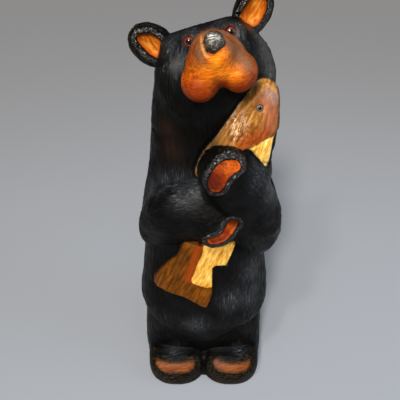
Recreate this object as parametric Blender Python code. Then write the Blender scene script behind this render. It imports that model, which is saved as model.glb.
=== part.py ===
"""A carved and painted wooden bear that stands upright, looks up and hugs a trout.

The bear and its fish are one carving. The bear's two eyes and the fish's eye are glass, set in sockets.
The bear faces -Y, +Z is up, and the origin is the middle of the flat underside that it stands on.
"""

import math

import bmesh
import bpy
import numpy as np
from mathutils import Matrix, Vector
from mathutils.bvhtree import BVHTree

# Driving sizes, in metres. The height is to the tip of the bear's left ear
BEAR_HEIGHT = 0.427
BEAR_EYE_DIAMETER = 0.0085
FISH_EYE_DIAMETER = 0.006
SOCKET_CLEARANCE = 0.0003

# How far an eye's middle lies under the carving's surface, as a share of its diameter
EYE_SINK_SHARE = 0.35

# The carving is drawn in millimetres at this height, and follows BEAR_HEIGHT from there
DRAWN_HEIGHT = 427.0
SCALE = BEAR_HEIGHT / DRAWN_HEIGHT

# How finely the carving is skinned, in drawn millimetres, and how many triangles it ends with
SKIN_CELL = 2.4
CARVING_TRIANGLES = 8500

# Passes of smoothing that round the valleys between forms
BODY_ROUNDING = 12
MUZZLE_ROUNDING = 9
ARM_ROUNDING = 6
CARVING_ROUNDING = 2
PAD_ROUNDING = 1

# How finely the single forms are drawn
RING_POINTS = 40
STEPS_BETWEEN_ROWS = 5
CAP_RINGS = 5
EYE_SEGMENTS = 16
EYE_RINGS = 10

# Farther than any place on the carving, in drawn millimetres
BEYOND = 300

SHARP_ANGLE = math.radians(50)
FRONT = Vector((0, -1, 0))
UP = Vector((0, 0, 1))

# The head leans to the bear's right, and its face is turned a little to the bear's left
HEAD_ROLL = math.radians(15)
HEAD_MIDDLE = Vector((10, -6, 353))
FACE_SHIFT = 6
ROLLED = Matrix.Rotation(-HEAD_ROLL, 3, "Y")


def drawn(x, y, z):
    """A place given in drawn millimetres, in metres."""
    return Vector((x, y, z)) * SCALE


def in_head(across, forward, up):
    """A place in the leaning head, in drawn millimetres from its middle."""
    return HEAD_MIDDLE + ROLLED @ Vector((across, -forward, up))


def in_face(across, forward, up):
    """A place in the leaning head, measured across from the middle of the face."""
    return in_head(across + FACE_SHIFT, forward, up)


def clear_scene():
    for item in list(bpy.data.objects):
        bpy.data.objects.remove(item)


def paint(name, colour, roughness, coat=0.0):
    """A Principled finish in one colour."""
    material = bpy.data.materials.new(name)
    material.use_nodes = True
    shader = material.node_tree.nodes["Principled BSDF"]
    shader.inputs["Base Color"].default_value = (*colour, 1)
    shader.inputs["Roughness"].default_value = roughness
    shader.inputs["Metallic"].default_value = 0
    shader.inputs["Coat Weight"].default_value = coat
    return material


def solid(name, shape):
    """An object from a bmesh, with its faces pointing out."""
    bmesh.ops.recalc_face_normals(shape, faces=shape.faces)
    mesh = bpy.data.meshes.new(name)
    shape.to_mesh(mesh)
    shape.free()
    made = bpy.data.objects.new(name, mesh)
    bpy.context.scene.collection.objects.link(made)
    return made


def settled(made):
    """The object with its modifiers turned into plain mesh."""
    bpy.context.view_layer.update()
    seen = made.evaluated_get(bpy.context.evaluated_depsgraph_get())
    mesh = bpy.data.meshes.new_from_object(seen)
    made.modifiers.clear()
    made.data = mesh
    return made


def through(rows):
    """Rows of numbers read along the smooth curve through the given rows."""
    rows = np.array(rows, float)
    ends = np.vstack([2 * rows[0] - rows[1], rows, 2 * rows[-1] - rows[-2]])
    read = []
    for before, start, end, after in zip(ends, ends[1:], ends[2:], ends[3:]):
        for t in np.arange(STEPS_BETWEEN_ROWS) / STEPS_BETWEEN_ROWS:
            bend = 2 * before - 5 * start + 4 * end - after
            twist = 3 * start - before - 3 * end + after
            read.append(start + 0.5 * (t * (end - before) + t**2 * bend + t**3 * twist))
    read.append(rows[-1])
    return np.array(read)


def limb(name, rows, facing=FRONT, square=2.0):
    """A closed tube with rounded ends along a smooth curve.

    Each row is x, y, z, half the width across and half the depth along facing, in drawn millimetres.
    square is 2 for an ellipse and more for a boxier cross-section.
    """
    read = through(rows)
    places = [Vector(row[:3]) for row in read]
    tangents = [Vector(step).normalized() for step in np.gradient(read[:, :3], axis=0)]
    sections = list(zip(places, tangents, read[:, 3], read[:, 4]))
    sections = rounded_end(sections[0], -1)[::-1] + sections + rounded_end(sections[-1], 1)
    shape = bmesh.new()
    rings = [ring(shape, *section, facing, square) for section in sections]
    for lower, upper in zip(rings, rings[1:]):
        for i in range(RING_POINTS):
            j = (i + 1) % RING_POINTS
            shape.faces.new((lower[i], lower[j], upper[j], upper[i]))
    shape.faces.new(rings[0][::-1])
    shape.faces.new(rings[-1])
    return solid(name, shape)


def rounded_end(section, way):
    """Sections that close a limb's end with a dome, from its rim outwards."""
    place, tangent, across, deep = section
    reach = min(across, deep)
    domed = []
    for turn in np.linspace(0, math.radians(85), CAP_RINGS + 1)[1:]:
        tip = place + tangent * way * reach * math.sin(turn)
        domed.append((tip, tangent, across * math.cos(turn), deep * math.cos(turn)))
    return domed


def ring(shape, place, tangent, across, deep, facing, square):
    """One cross-section's points, added to the shape."""
    out = (facing - tangent * facing.dot(tangent)).normalized()
    side = tangent.cross(out)
    points = []
    for i in range(RING_POINTS):
        turn = math.tau * i / RING_POINTS
        c, s = math.cos(turn), math.sin(turn)
        wide = across * math.copysign(abs(c) ** (2 / square), c)
        high = deep * math.copysign(abs(s) ** (2 / square), s)
        points.append(shape.verts.new((place + side * wide + out * high) * SCALE))
    return points


def blob(name, place, radii, turn=Matrix.Identity(3)):
    """An ellipsoid, in drawn millimetres, turned about its own middle."""
    shape = bmesh.new()
    stretch = Matrix.Diagonal((*(Vector(radii) * SCALE), 1))
    fit = Matrix.Translation(Vector(place) * SCALE) @ turn.to_4x4() @ stretch
    bmesh.ops.create_uvsphere(
        shape, u_segments=RING_POINTS, v_segments=RING_POINTS // 2, radius=1, matrix=fit
    )
    return solid(name, shape)


def plate(name, outline, front, back):
    """A flat outline of x and z, in drawn millimetres, pushed from front to back along Y."""
    shape = bmesh.new()
    near = [shape.verts.new(drawn(x, front, z)) for x, z in outline]
    pushed = bmesh.ops.extrude_face_region(shape, geom=[shape.faces.new(near)])
    far = [item for item in pushed["geom"] if isinstance(item, bmesh.types.BMVert)]
    bmesh.ops.translate(shape, verts=far, vec=drawn(0, back - front, 0))
    return solid(name, shape)


def combined(first, other, operation):
    """The first object after a Boolean with the other, which is used up."""
    cut = first.modifiers.new(operation.title(), "BOOLEAN")
    cut.operation = operation
    cut.object = other
    cut.solver = "EXACT"
    settled(first)
    bpy.data.objects.remove(other)
    return first


def joined(name, parts):
    """Several closed forms in one object, which may still overlap."""
    shape = bmesh.new()
    for part in parts:
        shape.from_mesh(part.data)
        bpy.data.objects.remove(part)
    return solid(name, shape)


def fused(name, parts, rounding):
    """Overlapping forms under one skin, with the valleys between them rounded by so many passes."""
    made = joined(name, parts)
    skin = made.modifiers.new("Skin", "REMESH")
    skin.mode = "VOXEL"
    skin.voxel_size = SKIN_CELL * SCALE
    soften = made.modifiers.new("Rounding", "SMOOTH")
    soften.factor = 0.5
    soften.iterations = rounding
    return settled(made)


def surface(made):
    """The object's surface, for finding places on it."""
    places = [vertex.co for vertex in made.data.vertices]
    return BVHTree.FromPolygons(places, [face.vertices for face in made.data.polygons])


# The trunk from the rump to the neck, then the belly that hangs over the legs, then the legs.
# Each row is x, y, z, half the width and half the depth
TRUNK = [
    (2, 2, 90, 66, 54),
    (3, 3, 150, 66, 54),
    (3, 4, 200, 64, 52),
    (6, 4, 250, 61, 49),
    (8, 3, 285, 60, 46),
    (7, 1, 320, 55.5, 44),
    (8, -2, 345, 52, 42),
]
BELLY = [
    (2, -4, 58.5, 5, 38),
    (2, -4, 60, 14, 46),
    (2, -4, 64, 30, 51.5),
    (2, -4, 70, 42, 55),
    (1.5, -4, 79, 56, 58),
    (1, -4, 92, 69, 61.5),
    (1.5, -4, 108, 74, 63.5),
    (2, -3, 125, 72.5, 62.5),
    (2, -2, 145, 69.5, 60.5),
    (2, 0, 175, 66, 56),
    (2, 2, 210, 62, 51),
]
LEGS = [
    (2, 3, -20, 68, 46),
    (2, 3, 8, 72.5, 49),
    (1, 3, 35, 72.5, 49),
    (1.5, 3, 80, 69.5, 48),
    (2, 3, 100, 68, 46),
]
LEGS_SQUARE = 3.6
TRUNK_SQUARE = 2.2
BELLY_SQUARE = 2.3


def belly(grown=0.0):
    """The barrel of the belly, or the same form grown all round."""
    rows = [(x, y, z, across + grown, deep + grown) for x, y, z, across, deep in BELLY]
    return limb("belly", rows, square=BELLY_SQUARE)


# The head's levels: height over its middle, half the width and half the depth
HEAD_LEVELS = [
    (-55, 36, 36),
    (-25, 48, 43),
    (0, 53, 46),
    (17, 50, 45),
    (29, 43.5, 41),
    (36, 37, 35),
    (40, 27, 26),
    (42, 14, 14),
    (42.5, 3, 3),
]
# The flat crown between the ears: across the head, half the depth and half the height
CROWN = [(-25, 22, 14), (0, 28, 14), (22, 24, 14)]
CROWN_FORWARD = 5
CROWN_UP = 34
# The brows: each one's place in the face, for the bear's left, and its radii
BROW = ((12.5, 21, 37), (16, 16, 14))


def pair(name, place, radii, turn=Matrix.Identity(3)):
    """Two equal ellipsoids in the face, one on each side of its middle."""
    across, forward, up = place
    return [blob(name, in_face(side * across, forward, up), radii, turn) for side in (-1, 1)]


def body():
    """The trunk and head, with the crown and brows that hold the eyes."""
    head = [(*in_head(0, 0, up), across, deep) for up, across, deep in HEAD_LEVELS]
    crown = [(*in_head(across, CROWN_FORWARD, CROWN_UP), deep, high) for across, deep, high in CROWN]
    forms = [
        limb("trunk", TRUNK, square=TRUNK_SQUARE),
        limb("head", head, square=TRUNK_SQUARE),
        limb("crown", crown, facing=UP),
    ]
    forms.extend(pair("brow", *BROW))
    return fused("body", forms, BODY_ROUNDING)


# Rows in the face: across, forward, up, half the width and half the depth
SNOUT = [(1, 20, 29, 21, 17), (1, 40, 31, 20, 17), (1.5, 54, 33.5, 18, 15), (1, 65, 37.5, 14, 12)]
SNOUT_FRONT = [(0.5, 61, 40, 13, 12), (0, 60, 33, 17, 14), (0, 58, 28, 18, 14)]
# Places in the face and radii, and for a pair the place on the bear's left
BRIDGE = ((0, 50, 29), (22, 21, 14))
LIP = ((0, 58, 26), (14, 12.5, 12))
JOWL = ((14.8, 52, 17), (15, 19, 14.5))
CHEEK = ((10, 45, 30), (13, 17, 11))


def muzzle():
    """The snout points up and forward, with a full jowl at each side of the mouth."""
    forms = [
        limb("snout", [(*in_face(*row[:3]), *row[3:]) for row in SNOUT], facing=UP),
        limb("front", [(*in_face(*row[:3]), *row[3:]) for row in SNOUT_FRONT]),
        blob("bridge", in_face(*BRIDGE[0]), BRIDGE[1], ROLLED),
        blob("lip", in_face(*LIP[0]), LIP[1], ROLLED),
    ]
    forms.extend(pair("jowl", *JOWL))
    forms.extend(pair("cheek", *CHEEK, ROLLED))
    return fused("muzzle", forms, MUZZLE_ROUNDING)


# The nose from its flat top down to its point, in the face
NOSE = [(3, 70, 49, 6.8, 4.5), (2.4, 71, 46, 7.6, 6), (1.2, 72, 43.3, 5.4, 5.5), (0.5, 71.5, 41.5, 2.8, 3.5)]


def nose():
    return limb("nose", [(*in_face(*row[:3]), *row[3:]) for row in NOSE])


# Each ear: its middle in the head, its lean out from the head's up, and half its length and width
RIGHT_EAR = ((-45, -9, 40.5), 45, 22, 17.5)
LEFT_EAR = ((43.5, -9, 45.2), -39, 21, 16)
EAR_THICKNESS = 9
EAR_RIM = 7


def ear(place, lean, length, width):
    """An oval dish that faces forward. lean is in degrees, and more than 0 to the bear's right."""
    turn = Matrix.Rotation(-HEAD_ROLL - math.radians(lean), 3, "Y")
    middle = in_head(*place)
    dish = blob("ear", middle, (width, EAR_THICKNESS, length), turn)
    bowl = (width - EAR_RIM, EAR_THICKNESS * 2 / 3, length - EAR_RIM)
    hollow = blob("hollow", middle + FRONT * EAR_THICKNESS, bowl, turn)
    return combined(dish, hollow, "DIFFERENCE")


# Each arm from the shoulder to the elbow, then from the elbow to the paw
RIGHT_UPPER_ARM = [
    (-33, 8, 300, 17, 24),
    (-36, 5, 260, 20, 29),
    (-39, -1, 225, 24, 31),
    (-40, -6, 197, 28, 31),
]
RIGHT_FOREARM = [
    (-40, -11, 199, 29, 28),
    (-27, -30, 226, 33, 27),
    (-9, -40, 240, 32, 24),
    (6, -48, 236, 28, 22),
    (14, -52, 228, 24, 19),
]
LEFT_UPPER_ARM = [
    (44, 8, 285, 20, 24),
    (45, 5, 255, 24, 28),
    (47, -2, 228, 31, 32),
    (46, -10, 208, 34, 33),
]
LEFT_FOREARM = [
    (47, -17, 202, 35, 32),
    (42, -31, 230, 35, 30),
    (33, -44, 260, 30, 26),
    (22, -53, 282, 25.5, 23),
    (16.5, -58, 293, 23, 20),
]

# The muscle above the left forearm, where that arm is raised: its middle and radii
LEFT_MUSCLE = ((38, -34, 280), (25, 28, 27))


def arm(name, upper, fore, *more):
    """An arm that hangs to its elbow, with a forearm and paw laid on the chest."""
    return fused(name, [limb("upper arm", upper), limb("forearm", fore), *more], ARM_ROUNDING)


# The trout's body from its head, high on the bear's left, down behind the arms
TROUT = [
    (49.5, -31, 361, 8.5, 8),
    (48, -33, 352, 14, 11),
    (44.5, -35, 340, 19, 14),
    (40, -37, 323, 24, 16),
    (34, -39, 303, 27, 17),
    (25, -42, 278, 27, 18),
    (12, -44, 250, 20, 17),
    (0, -46, 226, 14, 14),
]
TROUT_FACING = Vector((0.3, -1, 0.1)).normalized()
TROUT_SQUARE = 2.8
# The fins' outlines on the belly, as x and z, each from its left corner round by its lowest
TAIL_FIN = [
    (-52, 153),
    (-48, 148.5),
    (-36, 147.5),
    (-20, 145.5),
    (-11, 141),
    (-2, 135),
    (4, 133.5),
    (8, 143),
    (10, 152),
    (9.5, 163),
    (9, 182),
    (-4, 205),
    (-18, 208),
    (-25, 193),
    (-32, 185),
    (-41.5, 173),
    (-50, 160),
]
ANAL_FIN = [
    (0, 185),
    (9.5, 180),
    (13, 182.5),
    (23, 182),
    (27, 190),
    (31, 199),
    (31, 210),
    (26, 216),
    (16, 210),
    (-2, 205),
]
FIN_RELIEF = 4.0


def trout():
    return limb("trout", TROUT, facing=TROUT_FACING, square=TROUT_SQUARE)


def fin(outline):
    """A thin fin that stands up from the belly by its relief."""
    cut = plate("fin", outline, -BEYOND, 0)
    return combined(cut, belly(FIN_RELIEF), "INTERSECT")


# Each foot from its heel to its toe: y, z, half the width and half the height
FOOT = [(20, 16, 32, 28), (-15, 16, 35, 28), (-35, 15, 35.5, 28), (-46, 13, 34.5, 26)]
FOOT_SQUARE = 3.2
RIGHT_FOOT_X = -31
LEFT_FOOT_X = 34
# The low web that joins the feet
WEB = [(3.5, 20, 12, 14, 25), (3.5, -30, 12, 13, 25), (3.5, -47, 11, 11, 22)]


def foot(middle):
    """A stout foot that goes deeper than the floor, so that its sole is cut flat."""
    return limb("foot", [(middle, *row) for row in FOOT], facing=UP, square=FOOT_SQUARE)


# The stub tail's middle and radii, and how far its tip leans out from the back
STUB_TAIL = ((3, 62, 92), (11, 8, 16))
STUB_TAIL_LEAN = math.radians(15)


def stub_tail():
    """The short tail low on the back."""
    return blob("stub tail", *STUB_TAIL, Matrix.Rotation(STUB_TAIL_LEAN, 3, "X"))


# Each pad's middle line as x and z, half its width and its depth
PADS = [
    ([(9, 286), (10, 296), (15, 302.5), (22, 305), (27, 304)], 6, 2.6),
    ([(9, 222), (15, 225.5), (21, 231.5), (25, 237), (27, 241)], 4, 2.6),
    ([(-48, 31), (-40, 29.5), (-31, 29), (-22, 29.5), (-15, 31)], 6, 1.2),
    ([(18, 31), (26, 29.5), (35, 29), (44, 29.5), (51, 31)], 6, 1.2),
]


def pad_cutter(tree, points, width, depth):
    """A flattened tube laid along points of x and z on the carving's front."""
    rows = []
    for x, z in points:
        place = tree.ray_cast(drawn(x, -BEYOND, z), -FRONT)[0]
        rows.append((*(place / SCALE), width, depth))
    return limb("pad", rows)


def carved():
    """The whole carving under one skin, with its pads hollowed."""
    forms = [
        body(),
        belly(),
        stub_tail(),
        limb("legs", LEGS, square=LEGS_SQUARE),
        foot(RIGHT_FOOT_X),
        foot(LEFT_FOOT_X),
        limb("web", WEB, facing=UP),
        arm("right arm", RIGHT_UPPER_ARM, RIGHT_FOREARM),
        arm("left arm", LEFT_UPPER_ARM, LEFT_FOREARM, blob("muscle", *LEFT_MUSCLE)),
        muzzle(),
        nose(),
        ear(*RIGHT_EAR),
        ear(*LEFT_EAR),
        trout(),
        fin(TAIL_FIN),
        fin(ANAL_FIN),
    ]
    made = fused("carving", forms, CARVING_ROUNDING)
    tree = surface(made)
    hollows = joined("pads", [pad_cutter(tree, *pad) for pad in PADS])
    return fused("carving", [combined(made, hollows, "DIFFERENCE")], PAD_ROUNDING)


def lightened(made):
    """The carving in fewer, larger facets."""
    made.data.calc_loop_triangles()
    fewer = made.modifiers.new("Facets", "DECIMATE")
    fewer.ratio = CARVING_TRIANGLES / len(made.data.loop_triangles)
    return settled(made)


def cut_flat(made):
    """The carving with a flat underside at the floor."""
    outline = [(-BEYOND, 0), (BEYOND, 0), (BEYOND, -BEYOND), (-BEYOND, -BEYOND)]
    return combined(made, plate("floor", outline, -BEYOND, BEYOND), "DIFFERENCE")


# A place close in front of each eye: the bear's in its face, the trout's as x, y and z
RIGHT_EYE = (-17.5, 33, 46)
LEFT_EYE = (16.8, 34, 44.5)
TROUT_EYE = (47, -54, 344.5)


def ball(name, middle, diameter):
    shape = bmesh.new()
    place = Matrix.Translation(middle)
    bmesh.ops.create_uvsphere(
        shape, u_segments=EYE_SEGMENTS, v_segments=EYE_RINGS, radius=diameter / 2, matrix=place
    )
    return solid(name, shape)


def glass_eye(name, carving, tree, spot, diameter, finish):
    """A glass ball sunk in a socket of its own, where the carving comes nearest to the spot."""
    place, normal = tree.find_nearest(Vector(spot) * SCALE)[:2]
    middle = place - normal * diameter * EYE_SINK_SHARE
    combined(carving, ball("socket", middle, diameter + 2 * SOCKET_CLEARANCE), "DIFFERENCE")
    finished(ball(name, middle, diameter), finish)


def finished(made, finish):
    """The object in its material, shaded smooth but for its real edges."""
    made.data.materials.clear()
    made.data.materials.append(finish)
    made.data.shade_smooth()
    made.data.set_sharp_from_angle(angle=SHARP_ANGLE)


def main():
    clear_scene()
    wood = paint("painted_wood", (0.035, 0.032, 0.03), 0.45)
    amber = paint("amber_glass", (0.12, 0.02, 0.01), 0.05, coat=1.0)
    grey = paint("grey_glass", (0.2, 0.21, 0.2), 0.05, coat=1.0)
    carving = cut_flat(lightened(carved()))
    carving.name = "carved_bear"
    tree = surface(carving)
    glass_eye("right_eye", carving, tree, in_face(*RIGHT_EYE), BEAR_EYE_DIAMETER, amber)
    glass_eye("left_eye", carving, tree, in_face(*LEFT_EYE), BEAR_EYE_DIAMETER, amber)
    glass_eye("fish_eye", carving, tree, TROUT_EYE, FISH_EYE_DIAMETER, grey)
    finished(carving, wood)


main()
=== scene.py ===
"""The looks of a carved and painted wooden bear that hugs a trout.

The carving is built again from the forms of its solid, with a finer skin, the strokes of the knife and brush,
and its painted fields. Places are in drawn millimetres, with the bear facing -Y, and +Z up.
"""

import math

import bmesh
import bpy
import numpy as np
from mathutils import Matrix, Vector, noise
from mathutils.bvhtree import BVHTree


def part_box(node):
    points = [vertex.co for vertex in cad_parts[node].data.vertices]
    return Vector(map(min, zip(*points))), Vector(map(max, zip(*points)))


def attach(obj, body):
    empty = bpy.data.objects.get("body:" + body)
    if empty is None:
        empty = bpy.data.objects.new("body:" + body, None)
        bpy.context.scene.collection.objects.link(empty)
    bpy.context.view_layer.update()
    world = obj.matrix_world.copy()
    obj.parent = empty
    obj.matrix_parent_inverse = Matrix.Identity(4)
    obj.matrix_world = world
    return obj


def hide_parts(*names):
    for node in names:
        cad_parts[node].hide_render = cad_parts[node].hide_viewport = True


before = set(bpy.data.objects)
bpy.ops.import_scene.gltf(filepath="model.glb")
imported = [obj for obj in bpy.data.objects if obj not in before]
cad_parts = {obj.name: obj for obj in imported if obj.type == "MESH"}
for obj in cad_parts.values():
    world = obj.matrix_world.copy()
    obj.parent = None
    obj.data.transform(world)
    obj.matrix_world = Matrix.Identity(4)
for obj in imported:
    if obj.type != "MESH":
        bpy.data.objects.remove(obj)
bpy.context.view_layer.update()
LOW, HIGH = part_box("carved_bear")

# The carving's height as drawn, in millimetres, and as packed, in metres
DRAWN_HEIGHT = 427.3
SCALE = (HIGH.z - LOW.z) / DRAWN_HEIGHT

# How finely the forms and the whole skin are made, in drawn millimetres, and the most triangles
FORM_CELL = 2.4
SKIN_CELL = 1.0
SKIN_TRIANGLES = 196000

# Passes of smoothing that round the valleys between forms
BODY_ROUNDING = 12
MUZZLE_ROUNDING = 9
ARM_ROUNDING = 6
CARVING_ROUNDING = 5

# How finely the single forms are drawn
RING_POINTS = 56
STEPS_BETWEEN_ROWS = 7
CAP_RINGS = 7
CAP_TURN = math.radians(85)

# Farther than any place on the carving, in drawn millimetres
BEYOND = 300

FRONT = Vector((0, -1, 0))
UP = Vector((0, 0, 1))

# The head leans to the bear's right, and its face is turned a little to the bear's left
HEAD_ROLL = math.radians(15)
HEAD_MIDDLE = Vector((10, -6, 353))
FACE_SHIFT = 6
ROLLED = Matrix.Rotation(-HEAD_ROLL, 3, "Y")


def in_head(across, forward, up):
    """A place in the leaning head, in drawn millimetres from its middle."""
    return HEAD_MIDDLE + ROLLED @ Vector((across, -forward, up))


def in_face(across, forward, up):
    """A place in the leaning head, measured across from the middle of the face."""
    return in_head(across + FACE_SHIFT, forward, up)


def solid(name, shape):
    """An object from a bmesh, with its faces pointing out."""
    bmesh.ops.recalc_face_normals(shape, faces=shape.faces)
    mesh = bpy.data.meshes.new(name)
    shape.to_mesh(mesh)
    shape.free()
    made = bpy.data.objects.new(name, mesh)
    bpy.context.scene.collection.objects.link(made)
    return made


def settled(made):
    """The object with its modifiers turned into plain mesh."""
    bpy.context.view_layer.update()
    seen = made.evaluated_get(bpy.context.evaluated_depsgraph_get())
    mesh = bpy.data.meshes.new_from_object(seen)
    made.modifiers.clear()
    made.data = mesh
    return made


def through(rows, closed=False):
    """Rows of numbers read along the smooth curve through the given rows."""
    rows = np.array(rows, float)
    if closed:
        ends = np.vstack([rows[-1], rows, rows[0], rows[1]])
    else:
        ends = np.vstack([2 * rows[0] - rows[1], rows, 2 * rows[-1] - rows[-2]])
    read = []
    for before, start, end, after in zip(ends, ends[1:], ends[2:], ends[3:]):
        for t in np.arange(STEPS_BETWEEN_ROWS) / STEPS_BETWEEN_ROWS:
            bend = 2 * before - 5 * start + 4 * end - after
            twist = 3 * start - before - 3 * end + after
            read.append(start + 0.5 * (t * (end - before) + t**2 * bend + t**3 * twist))
    if not closed:
        read.append(rows[-1])
    return np.array(read)


def limb(name, rows, facing=FRONT, square=2.0):
    """A closed tube with rounded ends: x, y, z, half the width and half the depth along facing."""
    read = through(rows)
    places = [Vector(row[:3]) for row in read]
    tangents = [Vector(step).normalized() for step in np.gradient(read[:, :3], axis=0)]
    sections = list(zip(places, tangents, read[:, 3], read[:, 4]))
    sections = rounded_end(sections[0], -1)[::-1] + sections + rounded_end(sections[-1], 1)
    shape = bmesh.new()
    rings = [ring(shape, *section, facing, square) for section in sections]
    for lower, upper in zip(rings, rings[1:]):
        for i in range(RING_POINTS):
            j = (i + 1) % RING_POINTS
            shape.faces.new((lower[i], lower[j], upper[j], upper[i]))
    shape.faces.new(rings[0][::-1])
    shape.faces.new(rings[-1])
    return solid(name, shape)


def rounded_end(section, way):
    """Sections that close a limb's end with a dome, from its rim outwards."""
    place, tangent, across, deep = section
    reach = min(across, deep)
    domed = []
    for turn in np.linspace(0, CAP_TURN, CAP_RINGS + 1)[1:]:
        tip = place + tangent * way * reach * math.sin(turn)
        domed.append((tip, tangent, across * math.cos(turn), deep * math.cos(turn)))
    return domed


def ring(shape, place, tangent, across, deep, facing, square):
    """One cross-section's points, added to the shape."""
    out = (facing - tangent * facing.dot(tangent)).normalized()
    side = tangent.cross(out)
    points = []
    for i in range(RING_POINTS):
        turn = math.tau * i / RING_POINTS
        c, s = math.cos(turn), math.sin(turn)
        wide = across * math.copysign(abs(c) ** (2 / square), c)
        high = deep * math.copysign(abs(s) ** (2 / square), s)
        points.append(shape.verts.new((place + side * wide + out * high) * SCALE))
    return points


def blob(name, place, radii, turn=Matrix.Identity(3)):
    """An ellipsoid, turned about its own middle."""
    shape = bmesh.new()
    stretch = Matrix.Diagonal((*(Vector(radii) * SCALE), 1))
    fit = Matrix.Translation(Vector(place) * SCALE) @ turn.to_4x4() @ stretch
    bmesh.ops.create_uvsphere(
        shape, u_segments=RING_POINTS, v_segments=RING_POINTS // 2, radius=1, matrix=fit
    )
    return solid(name, shape)


def plate(name, outline, front, back):
    """A flat outline of x and z pushed from front to back along Y."""
    shape = bmesh.new()
    near = [shape.verts.new(Vector((x, front, z)) * SCALE) for x, z in outline]
    pushed = bmesh.ops.extrude_face_region(shape, geom=[shape.faces.new(near)])
    far = [item for item in pushed["geom"] if isinstance(item, bmesh.types.BMVert)]
    bmesh.ops.translate(shape, verts=far, vec=Vector((0, back - front, 0)) * SCALE)
    return solid(name, shape)


def combined(first, other, operation):
    """The first object after a Boolean with the other, which is used up."""
    cut = first.modifiers.new(operation.title(), "BOOLEAN")
    cut.operation = operation
    cut.object = other
    cut.solver = "EXACT"
    settled(first)
    bpy.data.objects.remove(other)
    return first


def joined(name, parts, keep=False):
    """Several closed forms in one object, which may still overlap."""
    shape = bmesh.new()
    for part in parts:
        shape.from_mesh(part.data)
        if not keep:
            bpy.data.objects.remove(part)
    return solid(name, shape)


def fused(name, parts, rounding, cell=FORM_CELL, keep=False):
    """Overlapping forms under one skin, with the valleys between them rounded by so many passes."""
    made = joined(name, parts, keep)
    skin = made.modifiers.new("Skin", "REMESH")
    skin.mode = "VOXEL"
    skin.voxel_size = cell * SCALE
    soften = made.modifiers.new("Rounding", "SMOOTH")
    soften.factor = 0.5
    soften.iterations = rounding
    return settled(made)


def surface(made):
    """The object's surface, for finding places on it."""
    places = [vertex.co for vertex in made.data.vertices]
    return BVHTree.FromPolygons(places, [face.vertices for face in made.data.polygons])


# The forms, as in the solid. Each row is x, y, z, half the width and half the depth
TRUNK = [
    (2, 2, 90, 66, 54), (3, 3, 150, 66, 54), (3, 4, 200, 64, 52), (6, 4, 250, 61, 49), (8, 3, 285, 60, 46),
    (7, 1, 320, 55.5, 44), (8, -2, 345, 52, 42),
]
BELLY = [
    (2, -4, 58.5, 5, 38), (2, -4, 60, 14, 46), (2, -4, 64, 30, 51.5), (2, -4, 70, 42, 55),
    (1.5, -4, 79, 56, 58), (1, -4, 92, 69, 61.5), (1.5, -4, 108, 74, 63.5), (2, -3, 125, 72.5, 62.5),
    (2, -2, 145, 69.5, 60.5), (2, 0, 175, 66, 56), (2, 2, 210, 62, 51),
]
LEGS = [
    (2, 3, -20, 68, 46), (2, 3, 8, 72.5, 49), (1, 3, 35, 72.5, 49), (1.5, 3, 80, 69.5, 48),
    (2, 3, 100, 68, 46),
]
LEGS_SQUARE = 3.6
TRUNK_SQUARE = 2.2
BELLY_SQUARE = 2.3
# The head: how far up it, half the width and half the depth
HEAD_LEVELS = [
    (-55, 36, 36), (-25, 48, 43), (0, 53, 46), (17, 50, 45), (29, 43.5, 41), (36, 37, 35), (40, 27, 26),
    (42, 14, 14), (42.5, 3, 3),
]
# The flat crown between the ears: across the head, half the depth and half the height
CROWN = [(-25, 22, 14), (0, 28, 14), (22, 24, 14)]
CROWN_FORWARD = 5
CROWN_UP = 34
# Rows in the face: across, forward, up, half the width and half the depth
SNOUT = [(1, 20, 29, 21, 17), (1, 40, 31, 20, 17), (1.5, 54, 33.5, 18, 15), (1, 65, 37.5, 14, 12)]
SNOUT_FRONT = [(0.5, 61, 40, 13, 12), (0, 60, 33, 17, 14), (0, 58, 28, 18, 14)]
# Places in the face and radii, and for a pair the place on the bear's left
BROW = ((12.5, 21, 37), (16, 16, 14))
BRIDGE = ((0, 50, 29), (22, 21, 14))
LIP = ((0, 58, 26), (14, 12.5, 12))
JOWL = ((14.8, 52, 17), (15, 19, 14.5))
CHEEK = ((10, 45, 30), (13, 17, 11))
# The nose from its flat top down to its point, in the face
NOSE = [(3, 70, 49, 6.8, 4.5), (2.4, 71, 46, 7.6, 6), (1.2, 72, 43.3, 5.4, 5.5), (0.5, 71.5, 41.5, 2.8, 3.5)]
# Each ear: its middle in the head, its lean in degrees, and half its length and width
RIGHT_EAR = ((-45, -9, 40.5), 45, 22, 17.5)
LEFT_EAR = ((43.5, -9, 45.2), -39, 21, 16)
EAR_THICKNESS = 9
EAR_RIM = 7
# Each arm from the shoulder to the elbow, then from the elbow to the paw
RIGHT_UPPER_ARM = [
    (-33, 8, 300, 17, 24), (-36, 5, 260, 20, 29), (-39, -1, 225, 24, 31), (-40, -6, 197, 28, 31),
]
RIGHT_FOREARM = [
    (-40, -11, 199, 29, 28), (-27, -30, 226, 33, 27), (-9, -40, 240, 32, 24), (6, -48, 236, 28, 22),
    (14, -52, 228, 24, 19),
]
LEFT_UPPER_ARM = [
    (44, 8, 285, 20, 24), (45, 5, 255, 24, 28), (47, -2, 228, 31, 32), (46, -10, 208, 34, 33),
]
LEFT_FOREARM = [
    (47, -17, 202, 35, 32), (42, -31, 230, 35, 30), (33, -44, 260, 30, 26), (22, -53, 282, 25.5, 23),
    (16.5, -58, 293, 23, 20),
]
# The muscle above the left forearm: its middle and radii
LEFT_MUSCLE = ((38, -34, 280), (25, 28, 27))
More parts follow.
